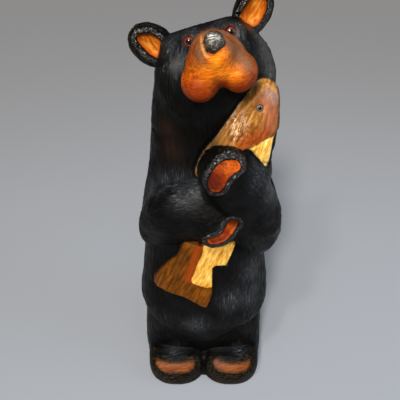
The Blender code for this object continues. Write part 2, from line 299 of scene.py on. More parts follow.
# The trout from its head, high on the bear's left, down behind the arms
TROUT = [
    (49.5, -31, 361, 8.5, 8), (48, -33, 352, 14, 11), (44.5, -35, 340, 19, 14), (40, -37, 323, 24, 16),
    (34, -39, 303, 27, 17), (25, -42, 278, 27, 18), (12, -44, 250, 20, 17), (0, -46, 226, 14, 14),
]
TROUT_FACING = Vector((0.3, -1, 0.1)).normalized()
TROUT_SQUARE = 2.8
# The fins' outlines on the belly, as x and z, and how far they stand up from it
TAIL_FIN = [
    (-52, 153), (-48, 148.5), (-36, 147.5), (-20, 145.5), (-11, 141), (-2, 135), (4, 133.5), (8, 143),
    (10, 152), (9.5, 163), (9, 182), (-4, 205), (-18, 208), (-25, 193), (-32, 185), (-41.5, 173),
    (-50, 160),
]
ANAL_FIN = [
    (0, 185), (9.5, 180), (13, 182.5), (23, 182), (27, 190), (31, 199), (31, 210), (26, 216), (16, 210),
    (-2, 205),
]
FIN_RELIEF = 4.0
# Rows along a foot, from the heel: y, z, half the width and half the height
FOOT = [(20, 16, 32, 28), (-15, 16, 35, 28), (-35, 15, 35.5, 28), (-46, 13, 34.5, 26)]
FOOT_SQUARE = 3.2
RIGHT_FOOT_X = -31
LEFT_FOOT_X = 34
# The low web between the feet
WEB = [(3.5, 20, 12, 14, 25), (3.5, -30, 12, 13, 25), (3.5, -47, 11, 11, 22)]
STUB_TAIL = ((3, 62, 92), (11, 8, 16))
STUB_TAIL_LEAN = math.radians(15)


def belly(grown=0.0):
    """The belly, grown by so much all round."""
    rows = [(x, y, z, across + grown, deep + grown) for x, y, z, across, deep in BELLY]
    return limb("belly", rows, square=BELLY_SQUARE)


def pair(name, place, radii, turn=Matrix.Identity(3)):
    """Two equal ellipsoids in the face, one on each side of its middle."""
    across, forward, up = place
    return [blob(name, in_face(side * across, forward, up), radii, turn) for side in (-1, 1)]


def body():
    """The trunk and head, with the crown and brows that hold the eyes."""
    head = [(*in_head(0, 0, up), across, deep) for up, across, deep in HEAD_LEVELS]
    crown = [(*in_head(across, CROWN_FORWARD, CROWN_UP), deep, high) for across, deep, high in CROWN]
    forms = [
        limb("trunk", TRUNK, square=TRUNK_SQUARE),
        limb("head", head, square=TRUNK_SQUARE),
        limb("crown", crown, facing=UP),
    ]
    forms.extend(pair("brow", *BROW))
    return fused("body", forms, BODY_ROUNDING)


def muzzle():
    """The snout points up and forward, with a full jowl at each side."""
    forms = [
        limb("snout", [(*in_face(*row[:3]), *row[3:]) for row in SNOUT], facing=UP),
        limb("front", [(*in_face(*row[:3]), *row[3:]) for row in SNOUT_FRONT]),
        blob("bridge", in_face(*BRIDGE[0]), BRIDGE[1], ROLLED),
        blob("lip", in_face(*LIP[0]), LIP[1], ROLLED),
    ]
    forms.extend(pair("jowl", *JOWL))
    forms.extend(pair("cheek", *CHEEK, ROLLED))
    return fused("muzzle", forms, MUZZLE_ROUNDING)


def ear(place, lean, length, width):
    """An oval dish that faces forward."""
    turn = Matrix.Rotation(-HEAD_ROLL - math.radians(lean), 3, "Y")
    middle = in_head(*place)
    dish = blob("ear", middle, (width, EAR_THICKNESS, length), turn)
    bowl = (width - EAR_RIM, EAR_THICKNESS * 2 / 3, length - EAR_RIM)
    hollow = blob("hollow", middle + FRONT * EAR_THICKNESS, bowl, turn)
    return combined(dish, hollow, "DIFFERENCE")


def arm(name, upper, fore, *more):
    """An arm that hangs to its elbow, with a forearm and paw laid on the chest."""
    return fused(name, [limb("upper arm", upper), limb("forearm", fore), *more], ARM_ROUNDING)


def fin(outline):
    """A thin fin that stands up from the belly by its relief."""
    cut = plate("fin", outline, -BEYOND, 0)
    return combined(cut, belly(FIN_RELIEF), "INTERSECT")


def foot(middle):
    return limb("foot", [(middle, *row) for row in FOOT], facing=UP, square=FOOT_SQUARE)


# Painted and carved fields, each an outline of x and z on the front of the carving
TROUT_EDGE = [
    (66, 352), (60, 357.5), (54, 362.5), (47, 364.5), (40.7, 362.9), (33.3, 353.8), (24.1, 340.5),
    (15.8, 327), (6.5, 311.5), (-0.5, 301), (-5.5, 290), (-7.5, 281), (-4, 275), (8, 273), (25, 288),
    (32, 308.5), (38.8, 309.2), (43.5, 304), (48.4, 298.6), (54, 291), (57, 292), (58, 303), (60, 317),
    (66, 324), (80, 332), (80, 345),
]
YELLOW_BELLY = [
    (35, 308), (41, 312), (47.9, 315), (53, 317), (58, 318), (63, 318), (63, 291), (50, 280), (38, 294),
]
YELLOW_TAIL = [
    (1, 206), (-0.3, 198), (-4, 189), (-7, 180.5), (-9.5, 173), (-11.9, 165.5), (-6, 162), (-0.3, 160),
    (5.6, 159), (12, 163), (11, 181), (24, 180), (34, 199), (33, 214), (16, 212),
]
TAIL_STRIPE = [
    (-1, 207), (-4, 190), (-9, 174), (-11.5, 164), (-19.5, 165.5), (-17.5, 175), (-12.5, 190), (-9, 204),
]
UPPER_PAD = [
    (4.1, 283.2), (3.6, 288.7), (6, 296.7), (10.7, 304), (16.4, 307.5), (22.9, 308), (28.7, 305.5),
    (29.5, 301), (23.7, 298), (19, 292.5), (16.8, 285.9), (12.9, 280.4), (7.1, 278.5),
]
LOWER_PAD = [
    (3.6, 225), (10, 228.5), (15, 231.5), (18.6, 236), (21.6, 240.9), (26.4, 244.4), (30.4, 243.4),
    (31.3, 239.3), (28.8, 233.9), (23.9, 227.7), (19.2, 223.3), (12.7, 220.2), (6.2, 219),
]
RIGHT_FOOT_PAD = [
    (-53.5, 33.4), (-44.8, 33.4), (-31.6, 33.4), (-18.5, 33.7), (-11.5, 34), (-9.5, 30), (-12.6, 25.7),
    (-22, 23.5), (-36.3, 23.5), (-49.5, 25), (-55.8, 29.2),
]
LEFT_FOOT_PAD = [
    (16, 34.6), (23.3, 33.8), (35.1, 33), (47.2, 33.2), (55, 33.6), (57, 29.8), (53.1, 25.5), (43.4, 23.8),
    (30.2, 23.8), (18.4, 25.8), (13, 31),
]
RIGHT_BOWL = [
    (-56, 388), (-50, 391), (-42.5, 390), (-35, 384), (-31.5, 375), (-36.5, 371), (-45, 373.5),
    (-52.5, 381),
]
LEFT_BOWL = [
    (36, 395.5), (29, 401), (31, 408), (35, 414), (39, 419), (44.5, 421), (49.5, 417), (50, 409), (45, 399),
]
PAW_PADS = [UPPER_PAD, LOWER_PAD]
FOOT_PADS = [RIGHT_FOOT_PAD, LEFT_FOOT_PAD]
EAR_BOWLS = [RIGHT_BOWL, LEFT_BOWL]


def off_stretch(start, end, x, z):
    """How far each place is from a straight stretch of x and z."""
    (x0, z0), (x1, z1) = start, end
    wide, high = x1 - x0, z1 - z0
    along = np.clip(((x - x0) * wide + (z - z0) * high) / (wide**2 + high**2), 0, 1)
    return np.hypot(x - x0 - along * wide, z - z0 - along * high)


def depth_in(outline, x, z):
    """How far each place is inside a smooth outline, and less than 0 outside it."""
    line = through(outline, closed=True)
    nearest = np.full(len(x), np.inf)
    crossings = np.zeros(len(x), bool)
    for start, end in zip(line, np.roll(line, -1, axis=0)):
        nearest = np.minimum(nearest, off_stretch(start, end, x, z))
        (x0, z0), (x1, z1) = start, end
        if z0 != z1:
            spans = (z0 > z) != (z1 > z)
            crossings ^= spans & (x < (x1 - x0) * (z - z0) / (z1 - z0) + x0)
    return np.where(crossings, nearest, -nearest)


def depth_in_any(outlines, x, z):
    return np.max([depth_in(outline, x, z) for outline in outlines], axis=0)


def off_line(line, x, z):
    """How far each place is from a smooth open line of x and z."""
    read = through(line)
    return np.min([off_stretch(start, end, x, z) for start, end in zip(read, read[1:])], axis=0)


def smooth(low, high, value):
    """An even step from 0 at low to 1 at high, and low may be the greater."""
    t = np.clip((value - low) / (high - low), 0, 1)
    return t * t * (3 - 2 * t)


def bead(distance, width):
    """A rounded ridge's height, 1 on its line and 0 beyond its width."""
    return np.exp(-((distance / width) ** 2))


def ripple(places, stretch, seed):
    """Soft noise over places, from -1 to 1, with one wave per stretch along each axis."""
    scaled = places / np.array(stretch, float) + seed
    return np.array([noise.noise(place) for place in scaled.tolist()])


def off_surface(tree, places, reach):
    """How far each place is from a surface, up to a reach."""
    far = np.full(len(places), float(reach))
    for i, place in enumerate(places.tolist()):
        found = tree.find_nearest(Vector(place) * SCALE, reach * SCALE)[3]
        if found is not None:
            far[i] = found / SCALE
    return far


def near_box(made, places, margin):
    """Which places lie in an object's box, grown by a margin."""
    corners = np.array([vertex.co for vertex in made.data.vertices]) / SCALE
    return np.all((places > corners.min(0) - margin) & (places < corners.max(0) + margin), axis=1)


# The forms that the skin belongs to, each with the direction of the strokes on it
STROKES = {
    "body": (0.05, 0.1, 1),
    "right arm": (0.75, -0.35, 0.35),
    "left arm": (-0.45, -0.5, 1),
    "muzzle": (1, -0.2, 0.15),
    "nose": (1, 0, 0.2),
    "right ear": (-0.7, 0, 1),
    "left ear": (0.4, 0, 1),
    "trout": (0.45, 0, 1),
    "legs": (0.1, 0.1, 1),
    "feet": (1, 0.1, 0.1),
    "fins": (0.45, 0, 1),
}
OWNERS = list(STROKES)

# How far from a form, or from a painted edge, the distance is still told, in drawn millimetres
NEAR = 6.0


def distances(forms, places):
    """How far each place is from each owner's surface, up to NEAR."""
    found = {}
    for name in OWNERS:
        far = np.full(len(places), NEAR)
        close = near_box(forms[name], places, NEAR)
        far[close] = off_surface(surface(forms[name]), places[close], NEAR)
        found[name] = far
    return found


def axes(direction):
    """A turn that brings a direction onto Z, as a matrix for rows."""
    return np.array(Vector(direction).normalized().rotation_difference(UP).to_matrix()).T


def along_strokes(places, owner):
    """Each place turned so that the strokes there run along Z."""
    turned = np.empty_like(places)
    for i, name in enumerate(OWNERS):
        mine = owner == i
        turned[mine] = places[mine] @ axes(STROKES[name])
    return turned


def mesh_arrays(mesh):
    """A mesh's places in drawn millimetres, and its normals."""
    count = len(mesh.vertices)
    places, normals = np.empty(count * 3), np.empty(count * 3)
    mesh.vertices.foreach_get("co", places)
    mesh.vertex_normals.foreach_get("vector", normals)
    return places.reshape(-1, 3) / SCALE, normals.reshape(-1, 3)


# Where painted fields end, in drawn millimetres, and how fast their depth falls beyond there
FALL = 40
TURNED_BACK = 0.35
TROUT_BACK = -14
TROUT_BACK_SLOPE = 1.5
TROUT_FRONT = -34
MUZZLE_TOP = 404
MUZZLE_TOP_Y = -50
MUZZLE_TOP_SLOPE = 9
FINS_BACK = -30
FINS_TOP = 218
SOLES_BACK = -48
BOWLS_TURNED = -0.2


def all_fields(places, normals, near):
    """The depth of each painted field at each place, in drawn millimetres."""
    x, y, z = places.T
    behind = FALL * np.maximum(0, normals[:, 1] - TURNED_BACK)
    trout = np.minimum(depth_in(TROUT_EDGE, x, z), (TROUT_BACK - y) / TROUT_BACK_SLOPE) - behind
    trout = np.minimum(trout, near["body"] - near["trout"] + np.maximum(0, TROUT_FRONT - y))
    arms = np.minimum(near["right arm"], near["left arm"])
    trout = np.where(arms < NEAR, np.minimum(trout, arms - near["trout"]), trout)
    muzzle = np.where(near["muzzle"] < NEAR, near["body"] - near["muzzle"], -NEAR)
    muzzle = np.where(near["trout"] < near["muzzle"], -NEAR, muzzle)
    muzzle = np.minimum(muzzle, MUZZLE_TOP - z - (y - MUZZLE_TOP_Y) / MUZZLE_TOP_SLOPE)
    fins = depth_in_any([TAIL_FIN, ANAL_FIN], x, z) - FALL * np.maximum(0, y - FINS_BACK)
    fins = np.where(arms < NEAR, np.minimum(fins, arms - near["fins"]), fins)
    fins = np.where(z > FINS_TOP, -NEAR, fins)
    nose = np.where(near["nose"] < NEAR, near["muzzle"] - near["nose"], -NEAR)
    ears = np.minimum(near["right ear"], near["left ear"])
    bowls = np.minimum(depth_in_any(EAR_BOWLS, x, z), near["body"] - ears)
    return {
        "trout": trout,
        "muzzle": muzzle,
        "fins": fins,
        "nose": nose,
        "paw_pads": depth_in_any(PAW_PADS, x, z) - behind,
        "foot_pads": depth_in_any(FOOT_PADS, x, z) - FALL * np.maximum(0, y - SOLES_BACK),
        "bowls": bowls - FALL * np.maximum(0, normals[:, 1] - BOWLS_TURNED),
    }


# Lines carved in the muzzle, the trout and the body: x and z
LEFT_OF_NOSE = [(-2.4, 401.5), (-2, 398), (-0.6, 394), (1.7, 390.7)]
GILL_LINE = [(47, 352), (51, 344), (52.5, 334), (50, 324), (45, 317)]
MOUTH_LINE = [(47, 366), (53, 362), (60, 360)]
SHOULDER_LINE = [(-48, 312), (-44, 311), (-39.5, 305), (-36.5, 298), (-35, 288)]

# Noise on the carving: its wave along each axis, in drawn millimetres, and where it is read
COARSE_STROKES = ((2.6, 2.6, 13), 3.1)
FINE_STROKES = ((1.7, 1.7, 7), 7.7)
UNEVENNESS = ((17, 17, 17), 11.3)
KNIFE_CUTS = ((8, 8, 11), 23.9)
GOUGES = ((3.2, 3.2, 3.2), 31.7)
WRINKLES = ((2.8, 2.8, 6), 41.3)

# Each sunk field's depth and the height of its gouged rim, and where the rims stand
SUNK_FIELDS = {"paw_pads": (1.9, 1.1), "foot_pads": (0.5, 0.0), "bowls": (1.2, 0.8)}
RIM_OUT = 3.4
RIM_WIDTH = 2.6

# The trout's bark-like patch, by its middle in x and z, and from where to where it fades
BARK_MIDDLE = (31, 331)
BARK_FADE = (19, 9)

# The feet are smoother than the rest: from where to where, upwards and forwards
FEET_TOP = (56, 48)
FEET_BACK = (-22, -34)


def on_feet(y, z):
    return smooth(*FEET_TOP, z) * smooth(*FEET_BACK, y)


def eye_distance(places, names=("right_eye", "left_eye", "fish_eye")):
    """How far each place is from the rim of the nearest glass eye."""
    off = []
    for name in names:
        low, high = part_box(name)
        middle = np.array((low + high) / 2) / SCALE
        off.append(np.linalg.norm(places - middle, axis=1) - (high.x - low.x) / 2 / SCALE)
    return np.min(off, axis=0)


def relief(places, normals, fields, strokes):
    """How far the knife and brush raise each place, in drawn millimetres."""
    x, y, z = places.T
    front = smooth(0.1, -0.3, normals[:, 1])
    gouges = ripple(places, *GOUGES)
    black = 1 - np.max([smooth(-0.5, 0.5, depth) for depth in fields.values()], axis=0)
    calm = 1 - 0.85 * on_feet(y, z)
    height = calm * (0.45 * ripple(places, *UNEVENNESS) + 0.3 * ripple(places, *KNIFE_CUTS))
    coarse = (0.14 + 0.3 * black) * ripple(strokes, *COARSE_STROKES)
    fine = (0.1 + 0.3 * black) * ripple(strokes, *FINE_STROKES)
    height += calm * (coarse + fine)

    trout = fields["trout"]
    height += front * (0.9 * smooth(-0.6, 0.9, trout) - 1.3 * bead(trout + 1.3, 1.3))
    across, up = x - BARK_MIDDLE[0], z - BARK_MIDDLE[1]
    bark_and_glints = smooth(*BARK_FADE, np.hypot(across + 0.5 * up, 0.6 * up))
    on_trout = smooth(0, 2, trout) * front
    height += on_trout * (0.45 + 1.9 * bark_and_glints) * np.abs(ripple(strokes, *WRINKLES))
    height += front * (-0.9 * bead(fields["fins"] + 1.2, 1.3))
    for name, (sink, rim) in SUNK_FIELDS.items():
        height -= sink * smooth(-0.4, 1.4, fields[name])
        height += rim * (1 + 1.3 * gouges) * bead(fields[name] + RIM_OUT, RIM_WIDTH)

    muzzle = smooth(0, 2, fields["muzzle"]) * front
    height += muzzle * 0.9 * bead(off_line(LEFT_OF_NOSE, x, z), 0.9)
    height -= muzzle * 1.0 * bead(off_line(LEFT_OF_NOSE, x - 2.0, z), 1.2)
    height += smooth(0, 1.5, fields["nose"]) * 0.8 * gouges
    height -= on_trout * 0.8 * bead(off_line(GILL_LINE, x, z), 1.0)
    height -= on_trout * 0.7 * bead(off_line(MOUTH_LINE, x, z), 0.8)
    height -= front * 0.9 * bead(off_line(SHOULDER_LINE, x, z), 1.4)
    off_eye = eye_distance(places)
    return height * smooth(0.5, 4, off_eye) - 0.5 * smooth(1.8, 0.4, off_eye)


def carving():
    """The bear and trout in one skin, with strokes, carved edges and its painted fields as attributes."""
    forms = {
        "trunk and head": body(),
        "belly": belly(),
        "legs": limb("legs", LEGS, square=LEGS_SQUARE),
        "right foot": foot(RIGHT_FOOT_X),
        "left foot": foot(LEFT_FOOT_X),
        "web": limb("web", WEB, facing=UP),
        "right arm": arm("right arm", RIGHT_UPPER_ARM, RIGHT_FOREARM),
        "left arm": arm("left arm", LEFT_UPPER_ARM, LEFT_FOREARM, blob("muscle", *LEFT_MUSCLE)),
        "muzzle": muzzle(),
        "nose": limb("nose", [(*in_face(*row[:3]), *row[3:]) for row in NOSE]),
        "right ear": ear(*RIGHT_EAR),
        "left ear": ear(*LEFT_EAR),
        "trout": limb("trout", TROUT, facing=TROUT_FACING, square=TROUT_SQUARE),
        "tail fin": fin(TAIL_FIN),
        "anal fin": fin(ANAL_FIN),
        "stub tail": blob("stub tail", *STUB_TAIL, Matrix.Rotation(STUB_TAIL_LEAN, 3, "X")),
    }
    made = fused("carving", list(forms.values()), CARVING_ROUNDING, cell=SKIN_CELL, keep=True)
    for name, members in (
        ("body", ("trunk and head", "belly", "stub tail")),
        ("feet", ("right foot", "left foot", "web")),
        ("fins", ("tail fin", "anal fin")),
    ):
        forms[name] = joined(name, [forms[member] for member in members], keep=True)
    places, normals = mesh_arrays(made.data)
    near = distances(forms, places)
    owner = np.argmin([near[name] for name in OWNERS], axis=0)
    fields = all_fields(places, normals, near)
    strokes = along_strokes(places, owner)
    places = places + normals * relief(places, normals, fields, strokes)[:, None]
    made.data.vertices.foreach_set("co", (places * SCALE).ravel())
    made.data.update()
    made.data.calc_loop_triangles()
    fewer = made.modifiers.new("Facets", "DECIMATE")
    fewer.ratio = SKIN_TRIANGLES / len(made.data.loop_triangles)
    settled(made)
    outline = [(-BEYOND, 0), (BEYOND, 0), (BEYOND, -BEYOND), (-BEYOND, -BEYOND)]
    combined(made, plate("floor cut", outline, -BEYOND, BEYOND), "DIFFERENCE")
    paint_fields(made, forms)
    for form in forms.values():
        bpy.data.objects.remove(form)
    return made


# Soft patches of paint: the middle and the reach of each
SOFT_SPOTS = {
    # Gold on the muzzle's front: part stain and part painted highlight where light falls on it
    "gold_and_highlight": [((9, -82, 388), 9), ((13, -78, 381), 10), ((20, -75, 378), 7), ((3, -78, 380), 8)],
    "dusk": [
        ((25, -68, 389), 9), ((20, -72, 395), 8), ((16, -73, 399), 8), ((24, -54, 395), 10),
        ((30, -70, 384), 7), ((-1, -77, 397), 7), ((-3, -76, 392), 7), ((0, -48, 400), 13),
        ((-5, -60, 402), 9), ((8, -64, 403), 9), ((14, -50, 402), 10),
    ],
    "ember": [((-4, -72, 362), 12), ((26, -72, 367), 12), ((13, -70, 369), 9)],
    "pink": [((56, -44, 338), 11), ((54, -46, 328), 9), ((50, -46, 346), 8)],
    "lilac": [((57, -42, 350), 6), ((52, -44, 354), 5)],
    "smear": [((36, -54, 318), 8), ((42, -54, 319), 7), ((32, -56, 312), 7), ((50, -50, 322), 5)],
    "low_trout": [((8, -48, 306), 14), ((0, -45, 290), 18), ((-5, -42, 275), 14), ((-3, -45, 260), 14)],
    "brown_chest": [((-30, -36, 300), 11), ((-33, -34, 318), 9)],
    # Painted glints: pale paint on the crests of the trout's wrinkled patch, where light would catch them
    "bark_and_glints": [
        ((23, -51, 330), 5), ((28, -51, 336), 6), ((28, -54, 327), 6), ((24, -54, 321), 5),
        ((33, -53, 331), 3.5),
    ],
    # Painted sheen: lighter blue-grey on the black where light from above would shine off it, on head, arms,
    # belly and feet
    "painted_sheen": [
        ((47, -14, 388), 13), ((52, -24, 379), 12), ((56, -28, 368), 11), ((5, -36, 405), 13),
        ((27, -42, 402), 12), ((-11, -36, 397), 12), ((-25, -26, 389), 12), ((-18, -40, 383), 10),
        ((-24, -42, 374), 10), ((-50, -23, 250), 10), ((-36, -34, 264), 11), ((-21, -41, 270), 12),
        ((-7, -50, 269), 10), ((-21, -55, 260), 11), ((50, -57, 286), 15), ((60, -52, 268), 14),
        ((52, -44, 162), 16), ((51, -51, 135), 16), ((31, -60, 137), 14), ((-8, -67, 106), 12),
        ((-33, -51, 39), 8), ((45, -49, 39), 8),
    ],
    # Painted sheen: a lighter grey, mostly on the side of the head towards the bear's left, where light would
    # shine off the black
    "painted_head_sheen": [
        ((52, -24, 379), 12), ((56, -28, 368), 11), ((50, -16, 388), 11), ((26, -44, 401), 8),
        ((-23, -42, 376), 6),
    ],
    "nose_glint": [((5, -80, 403), 3.5), ((8.5, -79, 402), 2.5)],
}

# The painted sockets: how far each one reaches from its glass eye
SOCKETS = {"sockets": (0.9, ("right_eye", "left_eye")), "fish_socket": (0.4, ("fish_eye",))}

# How far outside it the yellow of the tail is told, and how many passes find the carving's edges
TAIL_REACH = 12
EDGE_PASSES = 10
EDGE_MOST = 2

# The trout's pale edge line ends where its cheek begins, and the painted highlight on the ridge by the nose
# ends at the brows
EDGE_LINE_END = 44
NOSE_LINE_END = -50


def keep_attribute(mesh, name, values):
    """Numbers or vectors, one for each of the mesh's points, for its material."""
    kind = "FLOAT_VECTOR" if values.ndim == 2 else "FLOAT"
    layer = mesh.attributes.new(name, kind, "POINT")
    layer.data.foreach_set("vector" if values.ndim == 2 else "value", values.astype(np.float32).ravel())


def bulge(mesh, places, normals, passes):
    """How much each place stands out from its neighbours, after so many passes of smoothing."""
    count = len(mesh.edges)
    edges = np.empty(count * 2, int)
    mesh.edges.foreach_get("vertices", edges)
    a, b = edges.reshape(-1, 2).T
    many = np.bincount(a, minlength=len(places)) + np.bincount(b, minlength=len(places))
    many = np.maximum(many, 1)[:, None]

    def eased(values):
        total = np.zeros_like(values)
        np.add.at(total, a, values[b])
        np.add.at(total, b, values[a])
        return total / many

    soft = places.copy()
    for _ in range(passes):
        soft = eased(soft)
    out = np.sum((places - soft) * normals, axis=1)[:, None]
    for _ in range(2):
        out = 0.5 * out + 0.5 * eased(out)
    return out[:, 0]


def paint_fields(made, forms):
    """The depth of each painted field, kept on the mesh for its material."""
    places, normals = mesh_arrays(made.data)
    near = distances(forms, places)
    owner = np.argmin([near[name] for name in OWNERS], axis=0)
    x, y, z = places.T
    kept = {name: np.clip(depth, -NEAR, NEAR) for name, depth in all_fields(places, normals, near).items()}
    kept["yellow_belly"] = np.clip(depth_in(YELLOW_BELLY, x, z), -NEAR, NEAR)
    kept["yellow_tail"] = np.clip(depth_in(YELLOW_TAIL, x, z), -TAIL_REACH, NEAR)
    kept["tail_stripe"] = np.clip(depth_in(TAIL_STRIPE, x, z), -NEAR, NEAR)
    kept["trout_edge"] = np.clip(depth_in(TROUT_EDGE, x, z), 0, NEAR) + 2 * (x > EDGE_LINE_END)
    # A painted highlight along the carved ridge left of the nose
    kept["nose_ridge_highlight"] = bead(off_line(LEFT_OF_NOSE, x, z), 0.9) * (y < NOSE_LINE_END)
    kept["edges"] = np.clip(bulge(made.data, places, normals, EDGE_PASSES), -EDGE_MOST, EDGE_MOST)
    kept["strokes"] = along_strokes(places, owner) * SCALE
    kept["calm"] = on_feet(y, z)
    kept["turned_left"] = normals[:, 0]
    kept["turned_up"] = normals[:, 2]
    for name, (spread, eyes) in SOCKETS.items():
        kept[name] = np.clip(spread - eye_distance(places, eyes), -NEAR, NEAR)
    for name, spots in SOFT_SPOTS.items():
        shares = [bead(np.linalg.norm(places - np.array(spot), axis=1), reach) for spot, reach in spots]
        kept[name] = np.max(shares, axis=0)
    for name, values in kept.items():
        keep_attribute(made.data, name, values)


class Nodes:
    """A material's node tree, with short calls for the nodes that it is made from."""

    def __init__(self, name):
        self.material = bpy.data.materials.new(name)
        self.material.use_nodes = True
        self.tree = self.material.node_tree
        self.shader = self.tree.nodes["Principled BSDF"]

    def add(self, kind, **values):
        node = self.tree.nodes.new(kind)
        for name, value in values.items():
            setattr(node, name, value)
        return node

    def feed(self, socket, value):
        """A link from another node's socket, or else a value of the socket's own."""
        if isinstance(value, bpy.types.NodeSocket):
            self.tree.links.new(value, socket)
        elif isinstance(value, tuple) and len(value) == 3 and socket.type == "RGBA":
            socket.default_value = (*value, 1)
        else:
            socket.default_value = value

    def finished(self, values):
        """The material, with these values and links on its shader's own sockets."""
        for name, value in values.items():
            self.feed(self.shader.inputs[name], value)
        return self.material

    def attribute(self, name, vector=False):
        node = self.add("ShaderNodeAttribute", attribute_name=name)
        return node.outputs["Vector" if vector else "Fac"]

    def place(self):
        return self.add("ShaderNodeTexCoord").outputs["Object"]

    def math(self, operation, a, b):
        node = self.add("ShaderNodeMath", operation=operation)
        self.feed(node.inputs[0], a)
        self.feed(node.inputs[1], b)
        return node.outputs[0]

    def plus(self, a, b):
        return self.math("ADD", a, b)

    def minus(self, a, b):
        return self.math("SUBTRACT", a, b)

    def times(self, a, b):
        return self.math("MULTIPLY", a, b)

    def greater(self, a, b):
        return self.math("MAXIMUM", a, b)

    def between(self, value, low, high, to_low=0.0, to_high=1.0):
        """A smooth step from to_low, where the value is low, to to_high, where it is high."""
        node = self.add("ShaderNodeMapRange", interpolation_type="SMOOTHSTEP")
        sockets = ("Value", "From Min", "From Max", "To Min", "To Max")
        for name, given in zip(sockets, (value, low, high, to_low, to_high)):
            self.feed(node.inputs[name], given)
        return node.outputs[0]

    def mix(self, share, a, b, blend="MIX"):
        node = self.add("ShaderNodeMix", data_type="RGBA", blend_type=blend)
        self.feed(node.inputs["Factor"], share)
        self.feed(node.inputs["A"], a)
        self.feed(node.inputs["B"], b)
        return node.outputs["Result"]

    def scaled(self, vector, scale):
        node = self.add("ShaderNodeVectorMath", operation="MULTIPLY")
        self.feed(node.inputs[0], vector)
        self.feed(node.inputs[1], scale)
        return node.outputs[0]

    def noise(self, vector, scale, detail, roughness=0.5):
        node = self.add("ShaderNodeTexNoise")
        self.feed(node.inputs["Vector"], vector)
        self.feed(node.inputs["Scale"], scale)
        self.feed(node.inputs["Detail"], detail)
        self.feed(node.inputs["Roughness"], roughness)
        return node.outputs["Fac"]

    def ramp(self, share, stops):
        """The colour at a share along stops, each a place and its colour."""
        node = self.add("ShaderNodeValToRGB")
        band = node.color_ramp
        while len(band.elements) < len(stops):
            band.elements.new(0.5)
        for element, (place, colour) in zip(band.elements, stops):
            element.position = place
            element.color = (*colour, 1)
        self.feed(node.inputs[0], share)
        return node.outputs["Color"]

    def bump(self, height, strength, distance, normal=None):
        node = self.add("ShaderNodeBump")
        self.feed(node.inputs["Height"], height)
        self.feed(node.inputs["Strength"], strength)
        self.feed(node.inputs["Distance"], distance)
        if normal is not None:
            self.feed(node.inputs["Normal"], normal)
        return node.outputs[0]


# Paints and wear, with painted sheen, highlights, glints and shade, in linear colour
PAINT = {
    "black": (0.0012, 0.0012, 0.001),
    "thin black": (0.005, 0.0036, 0.002),
    # Painted sheen on the black, and its brighter dashes as painted glints
    "painted_sheen": (0.03, 0.033, 0.038),
    "painted sheen dashes": (0.13, 0.14, 0.15),
    # Painted sheen on the head
    "painted_head_sheen": (0.08, 0.077, 0.07),
    "rubbed edge": (0.045, 0.031, 0.017),
    "scratch": (0.05, 0.038, 0.025),
    "brown chest": (0.036, 0.014, 0.005),
    "rim glint": (0.2, 0.205, 0.21),
    "ember": (0.27, 0.03, 0.001),
    "dusk": (0.2, 0.112, 0.062),
    # Painted highlight on the ridge left of the nose
    "nose_ridge_highlight": (0.6, 0.3, 0.07),
    "low trout": (0.085, 0.055, 0.03),
    "pink": (0.4, 0.125, 0.075),
    "lilac": (0.34, 0.26, 0.25),
    "smear": (0.3, 0.036, 0.001),
    # Painted glints on the crests of the trout's wrinkled patch
    "bark_and_glints": (0.72, 0.5, 0.33),
    # Painted shade on the trout's side that turns away from the light
    "trout shaded side": (0.09, 0.045, 0.02),
    "trout edge": (0.34, 0.23, 0.12),
    "tail stripe": (0.25, 0.045, 0.001),
    "tail yellow": (0.74, 0.66, 0.52),
    "bowl edge": (0.4, 0.09, 0.005),
    "socket": (0.05, 0.008, 0.004),
    "fish socket": (0.05, 0.035, 0.025),
    "nose": (0.006, 0.006, 0.005),
    "worn nose": (0.04, 0.034, 0.024),
    "nose glint": (0.62, 0.56, 0.47),
    # Painted shade for the hollows
    "hollow": (0.01, 0.006, 0.003),
}

# Stains that change with a tone: the tone, then the colour there
MUZZLE_STAIN = [
    (0.3, (0.11, 0.013, 0.001)), (0.47, (0.245, 0.042, 0.001)), (0.62, (0.385, 0.09, 0.003)),
    (0.78, (0.54, 0.155, 0.009)),
]
# The gold is stain and painted highlight together
GOLD_STAIN = [(0.3, (0.55, 0.09, 0.002)), (0.48, (0.92, 0.25, 0.005)), (0.66, (0.99, 0.42, 0.03))]
TROUT_STAIN = [
    (0.28, (0.075, 0.028, 0.003)), (0.45, (0.2, 0.078, 0.009)), (0.6, (0.36, 0.16, 0.024)),
    (0.78, (0.58, 0.34, 0.11)),
]
YELLOW_STAIN = [(0.3, (0.5, 0.22, 0.02)), (0.5, (0.76, 0.47, 0.1)), (0.7, (0.95, 0.78, 0.36))]
FIN_STAIN = [(0.3, (0.041, 0.013, 0.0005)), (0.5, (0.1, 0.032, 0.001)), (0.7, (0.19, 0.064, 0.004))]
PAD_STAIN = [(0.36, (0.12, 0.013, 0.001)), (0.5, (0.23, 0.034, 0.001)), (0.64, (0.45, 0.1, 0.008))]
SOLE_STAIN = [(0.3, (0.11, 0.034, 0.01)), (0.5, (0.18, 0.057, 0.017)), (0.72, (0.25, 0.088, 0.029))]
BOWL_STAIN = [(0.3, (0.3, 0.06, 0.002)), (0.5, (0.48, 0.135, 0.007)), (0.7, (0.64, 0.28, 0.045))]

# Fine bump in the varnish and deeper nicks in the rims, in metres
STROKE_BUMP = 0.001
NICK_BUMP = 0.0025


